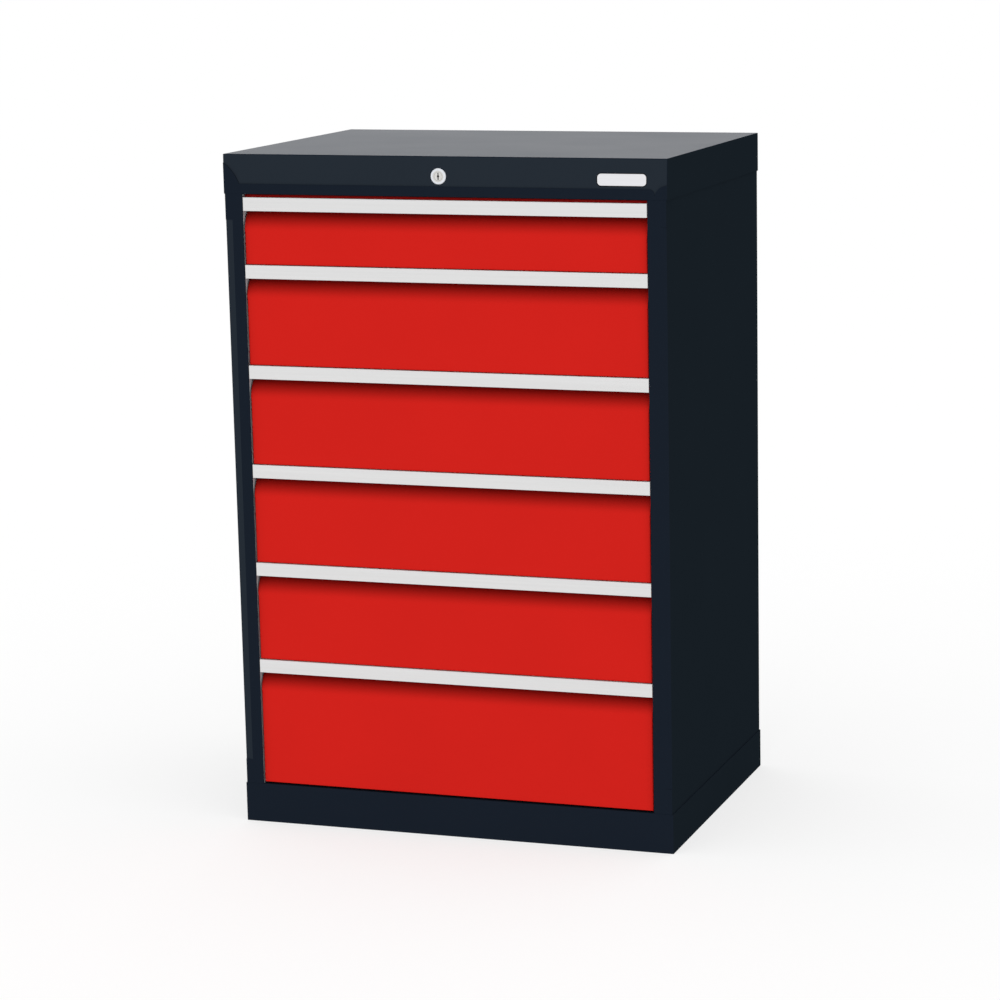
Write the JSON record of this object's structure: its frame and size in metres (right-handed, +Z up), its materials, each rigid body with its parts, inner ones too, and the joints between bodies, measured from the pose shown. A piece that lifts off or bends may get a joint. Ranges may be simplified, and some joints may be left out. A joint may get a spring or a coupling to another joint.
{
  "type": "drawer cabinet",
  "caption": "Free-standing workshop drawer cabinet: folded steel housing, red drawers on telescopic slides with full-width aluminium grips, and a lock in the top fascia.",
  "frame": {"origin": "middle of the footprint, on the floor", "axes": "+Z up, front towards -Y, +X to the right seen from the front"},
  "size_m": [0.682, 0.5, 1.019],
  "materials": {
    "housing_slate": "fine powder coat, semi-gloss",
    "front_red": "powder coat, satin",
    "grip_aluminium": "brushed and anodised",
    "inner_grey": "powder coat, satin",
    "zinc_steel": "bright zinc plated",
    "lock_chrome": "polished",
    "plate_pale": "satin, bare"
  },
  "bodies": {
    "housing": {"top_cover": "housing_slate", "side_panel_left": "housing_slate", "side_panel_right": "housing_slate", "back_panel": "housing_slate", "floor_panel": "housing_slate", "base_front": "housing_slate", "base_back": "housing_slate", "base_left": "housing_slate", "base_right": "housing_slate", "upright_front_left": "inner_grey", "upright_front_right": "inner_grey", "upright_rear_left": "inner_grey", "upright_rear_right": "inner_grey", "slide_outers_left": "zinc_steel", "slide_outers_right": "zinc_steel", "lock_housing": "lock_chrome", "lock_nut": "zinc_steel", "lock_guides": "zinc_steel", "name_plate": "plate_pale"},
    "lock_barrel": {"lock_barrel": "lock_chrome", "lock_cam": "zinc_steel"},
    "lock_slide": {"lock_slide": "zinc_steel"},
    "lock_bar": {"lock_bar": "zinc_steel", "lock_hooks": "zinc_steel"},
    "drawer_1": {"tray_1": "inner_grey", "front_1": "front_red", "grip_1": "grip_aluminium", "grip_screws_1": "zinc_steel", "runners_1": "zinc_steel"},
    "slide_1": {"slide_mid_1": "zinc_steel"},
    "drawer_2": {"tray_2": "inner_grey", "front_2": "front_red", "grip_2": "grip_aluminium", "grip_screws_2": "zinc_steel", "runners_2": "zinc_steel"},
    "slide_2": {"slide_mid_2": "zinc_steel"},
    "drawer_3": {"tray_3": "inner_grey", "front_3": "front_red", "grip_3": "grip_aluminium", "grip_screws_3": "zinc_steel", "runners_3": "zinc_steel"},
    "slide_3": {"slide_mid_3": "zinc_steel"},
    "drawer_4": {"tray_4": "inner_grey", "front_4": "front_red", "grip_4": "grip_aluminium", "grip_screws_4": "zinc_steel", "runners_4": "zinc_steel"},
    "slide_4": {"slide_mid_4": "zinc_steel"},
    "drawer_5": {"tray_5": "inner_grey", "front_5": "front_red", "grip_5": "grip_aluminium", "grip_screws_5": "zinc_steel", "runners_5": "zinc_steel"},
    "slide_5": {"slide_mid_5": "zinc_steel"},
    "drawer_6": {"tray_6": "inner_grey", "front_6": "front_red", "grip_6": "grip_aluminium", "grip_screws_6": "zinc_steel", "runners_6": "zinc_steel"},
    "slide_6": {"slide_mid_6": "zinc_steel"}
  },
  "joints": [
    {"name": "lock_slide_move", "type": "slide", "parent": "housing", "child": "lock_slide", "axis": [1, 0, 0], "range_m": [0, 0.01]},
    {"name": "lock_turn", "type": "hinge", "parent": "housing", "child": "lock_barrel", "pos_m": [-0.003, -0.25, 0.99], "axis": [0, 1, 0], "range_deg": [0, 94]},
    {"name": "lock_bar_turn", "type": "hinge", "parent": "housing", "child": "lock_bar", "pos_m": [0.3215, -0.217, 0.5], "axis": [0, 0, -1], "range_deg": [0, 94]},
    {"name": "drawer_1_slide", "type": "slide", "parent": "housing", "child": "drawer_1", "axis": [0, -1, 0], "range_m": [0, 0.4]},
    {"name": "slide_1_move", "type": "slide", "parent": "housing", "child": "slide_1", "axis": [0, -1, 0], "range_m": [0, 0.2]},
    {"name": "drawer_2_slide", "type": "slide", "parent": "housing", "child": "drawer_2", "axis": [0, -1, 0], "range_m": [0, 0.4]},
    {"name": "slide_2_move", "type": "slide", "parent": "housing", "child": "slide_2", "axis": [0, -1, 0], "range_m": [0, 0.2]},
    {"name": "drawer_3_slide", "type": "slide", "parent": "housing", "child": "drawer_3", "axis": [0, -1, 0], "range_m": [0, 0.4]},
    {"name": "slide_3_move", "type": "slide", "parent": "housing", "child": "slide_3", "axis": [0, -1, 0], "range_m": [0, 0.2]},
    {"name": "drawer_4_slide", "type": "slide", "parent": "housing", "child": "drawer_4", "axis": [0, -1, 0], "range_m": [0, 0.4]},
    {"name": "slide_4_move", "type": "slide", "parent": "housing", "child": "slide_4", "axis": [0, -1, 0], "range_m": [0, 0.2]},
    {"name": "drawer_5_slide", "type": "slide", "parent": "housing", "child": "drawer_5", "axis": [0, -1, 0], "range_m": [0, 0.4]},
    {"name": "slide_5_move", "type": "slide", "parent": "housing", "child": "slide_5", "axis": [0, -1, 0], "range_m": [0, 0.2]},
    {"name": "drawer_6_slide", "type": "slide", "parent": "housing", "child": "drawer_6", "axis": [0, -1, 0], "range_m": [0, 0.4]},
    {"name": "slide_6_move", "type": "slide", "parent": "housing", "child": "slide_6", "axis": [0, -1, 0], "range_m": [0, 0.2]}
  ],
  "couplings": [
    {"joint": "lock_turn", "follows": "lock_slide_move", "rad_per_m": 157.08},
    {"joint": "lock_bar_turn", "follows": "lock_slide_move", "rad_per_m": 157.08},
    {"joint": "slide_1_move", "follows": "drawer_1_slide", "ratio": 0.5},
    {"joint": "slide_2_move", "follows": "drawer_2_slide", "ratio": 0.5},
    {"joint": "slide_3_move", "follows": "drawer_3_slide", "ratio": 0.5},
    {"joint": "slide_4_move", "follows": "drawer_4_slide", "ratio": 0.5},
    {"joint": "slide_5_move", "follows": "drawer_5_slide", "ratio": 0.5},
    {"joint": "slide_6_move", "follows": "drawer_6_slide", "ratio": 0.5}
  ]
}
